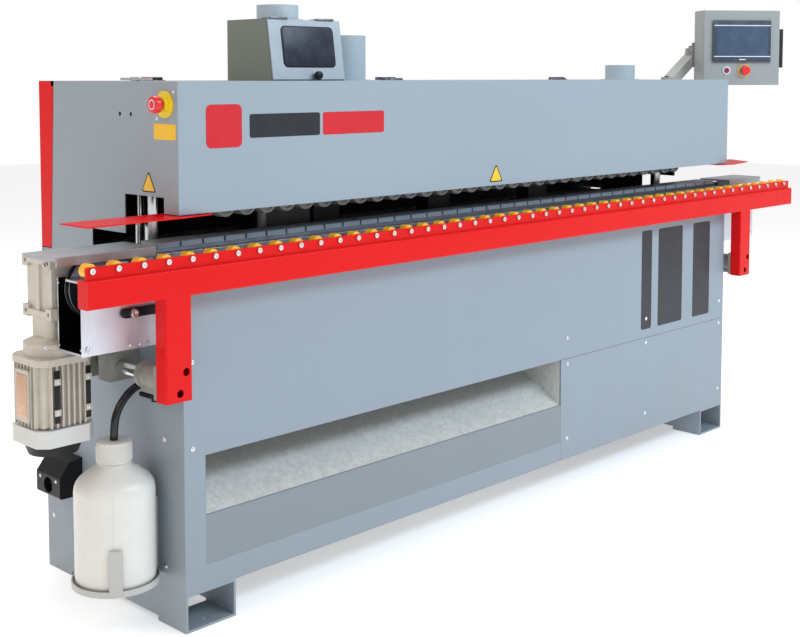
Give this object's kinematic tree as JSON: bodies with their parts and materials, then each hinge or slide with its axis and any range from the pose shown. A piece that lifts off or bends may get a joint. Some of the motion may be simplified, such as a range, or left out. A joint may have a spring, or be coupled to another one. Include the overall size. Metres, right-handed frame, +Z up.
{
  "type": "edge banding machine",
  "caption": "Edge banding machine: long cabinet with a pad feed track, pressure rollers under a hood, sliding roller support rail, glue box and swinging control panel.",
  "frame": {"origin": "centre of the four floor anchor holes, on the floor", "axes": "+X is the feed direction, infeed to outfeed; -Y faces the operator; +Z is up"},
  "size_m": [3.1186, 0.661, 1.523],
  "materials": {
    "grey_paint": "satin powder coat",
    "red_paint": "gloss powder coat",
    "cast_paint": "satin paint on casting",
    "black_plastic": "matte",
    "bright_steel": "polished",
    "aluminium": "satin",
    "pad_rubber": "ribbed",
    "roller_rubber": "matte",
    "dark_steel": "machined",
    "bronze": "machined",
    "grey_plastic": "satin",
    "white_plastic": "satin",
    "hose_rubber": "smooth",
    "yellow_plastic": "gloss",
    "red_plastic": "gloss"
  },
  "bodies": {
    "machine": {"base_frame": "grey_paint", "left_foot": "grey_paint", "right_foot": "grey_paint", "front_panel": "grey_paint", "access_panel": "grey_paint", "left_side_panel": "grey_paint", "right_side_panel": "grey_paint", "rear_panel": "grey_paint", "chute_tray": "grey_paint", "upper_hood": "grey_paint", "glue_box": "grey_paint", "trim_unit": "grey_paint", "bottle_holder": "grey_paint", "gearbox_housing": "cast_paint", "motor_housing": "cast_paint", "fan_cowl": "black_plastic", "power_inlet": "black_plastic", "extraction_ports": "bright_steel", "guide_columns": "bright_steel", "panel_screws": "bright_steel", "conveyor_beam": "aluminium", "beam_side_plates": "aluminium", "infeed_plate": "aluminium", "outfeed_plate": "aluminium", "track_guide": "aluminium", "rod_guides": "aluminium", "glue_unit": "aluminium", "feed_pads": "pad_rubber", "feed_chain": "dark_steel", "side_stop_body": "grey_plastic", "bottle": "white_plastic", "bottle_cap": "white_plastic", "spray_hose": "hose_rubber"},
    "support_frame": {"support_rail": "red_paint", "roller_bolts": "bright_steel", "rail_rods": "bright_steel", "rod_holders": "aluminium", "support_rollers": "yellow_plastic"},
    "first_support_roller": {"support_roller_first": "yellow_plastic"},
    "rod_clamp": {"clamp_lever": "black_plastic"},
    "pressure_bridge": {"pressure_beam": "aluminium", "pressure_rollers": "roller_rubber", "hand_guards": "red_paint"},
    "first_pressure_roller": {"pressure_roller_first": "roller_rubber"},
    "height_setting": {"height_screw": "black_plastic"},
    "motor_rotor": {"worm_shaft": "bright_steel", "cooling_fan": "grey_plastic"},
    "drive": {"drive_shaft": "bright_steel", "drive_sprocket": "dark_steel", "worm_wheel": "bronze"},
    "idler": {"idler_sprocket": "dark_steel"},
    "rear_cover": {"rear_hood": "red_paint"},
    "glue_front": {"glue_door": "aluminium"},
    "swing_arm": {"panel_arm": "grey_paint"},
    "operator_panel": {"control_box": "grey_paint"},
    "panel_stop": {"panel_stop_button": "red_plastic"},
    "start_key": {"start_button": "red_plastic"},
    "side_stop": {"side_stop_button": "red_plastic"},
    "glue_drum": {"glue_roller": "dark_steel"},
    "cutter": {"trim_cutter": "dark_steel"}
  },
  "joints": [
    {"name": "support_slide", "type": "slide", "parent": "machine", "child": "support_frame", "axis": [0, -1, 0], "range_m": [0, 0.22]},
    {"name": "support_roller_spin", "type": "hinge", "parent": "support_frame", "child": "first_support_roller", "pos_m": [-1.4483, -0.3295, 0.8725], "axis": [0, 1, 0], "continuous": true},
    {"name": "rod_clamp_turn", "type": "hinge", "parent": "support_frame", "child": "rod_clamp", "pos_m": [-1.24, -0.267, 0.555], "axis": [0, 0, 1], "range_deg": [-35, 35]},
    {"name": "pressure_height", "type": "slide", "parent": "machine", "child": "pressure_bridge", "axis": [0, 0, 1], "range_m": [-0.035, 0]},
    {"name": "pressure_roller_spin", "type": "hinge", "parent": "pressure_bridge", "child": "first_pressure_roller", "pos_m": [-0.972, -0.165, 0.965], "axis": [0, 1, 0], "continuous": true},
    {"name": "height_turn", "type": "hinge", "parent": "machine", "child": "height_setting", "pos_m": [-1.105, -0.008, 1.266], "axis": [0, 0, 1], "range_deg": [-1262, 0]},
    {"name": "motor_spin", "type": "hinge", "parent": "machine", "child": "motor_rotor", "pos_m": [-1.395, -0.088, 0.6], "axis": [0, 0, 1], "continuous": true},
    {"name": "drive_spin", "type": "hinge", "parent": "machine", "child": "drive", "pos_m": [-1.332, -0.17, 0.808], "axis": [0, 1, 0], "continuous": true},
    {"name": "idler_spin", "type": "hinge", "parent": "machine", "child": "idler", "pos_m": [1.4, -0.17, 0.808], "axis": [0, 1, 0], "continuous": true},
    {"name": "rear_hood_lift", "type": "hinge", "parent": "machine", "child": "rear_cover", "pos_m": [0, 0.239, 1.269], "axis": [1, 0, 0], "range_deg": [0, 75]},
    {"name": "glue_door_lift", "type": "hinge", "parent": "machine", "child": "glue_front", "pos_m": [-0.6235, -0.0796, 1.427], "axis": [-1, 0, 0], "range_deg": [0, 100]},
    {"name": "arm_swing", "type": "hinge", "parent": "machine", "child": "swing_arm", "pos_m": [1.24, -0.02, 1.245], "axis": [0, 0, 1], "range_deg": [-30, 45]},
    {"name": "panel_swivel", "type": "hinge", "parent": "swing_arm", "child": "operator_panel", "pos_m": [1.47, 0.02, 1.345], "axis": [0, 0, 1], "range_deg": [-5, 60]},
    {"name": "panel_stop_press", "type": "slide", "parent": "operator_panel", "child": "panel_stop", "axis": [0.6252, 0.7804, 0], "range_m": [0, 0.004], "stiffness_N_per_m": 900},
    {"name": "start_press", "type": "slide", "parent": "operator_panel", "child": "start_key", "axis": [0.6252, 0.7804, 0], "range_m": [0, 0.003], "stiffness_N_per_m": 700},
    {"name": "side_stop_press", "type": "slide", "parent": "machine", "child": "side_stop", "axis": [1, 0, 0], "range_m": [0, 0.004], "stiffness_N_per_m": 900},
    {"name": "glue_roller_spin", "type": "hinge", "parent": "machine", "child": "glue_drum", "pos_m": [-0.78, -0.084, 0.9], "axis": [0, 0, 1], "continuous": true},
    {"name": "cutter_spin", "type": "hinge", "parent": "machine", "child": "cutter", "pos_m": [0.06, 0.01, 0.95], "axis": [0, 0, 1], "continuous": true}
  ],
  "couplings": [
    {"joint": "height_turn", "follows": "pressure_height", "rad_per_m": 628.32},
    {"joint": "drive_spin", "follows": "motor_spin", "ratio": 0.066667},
    {"joint": "idler_spin", "follows": "motor_spin", "ratio": 0.066667}
  ]
}
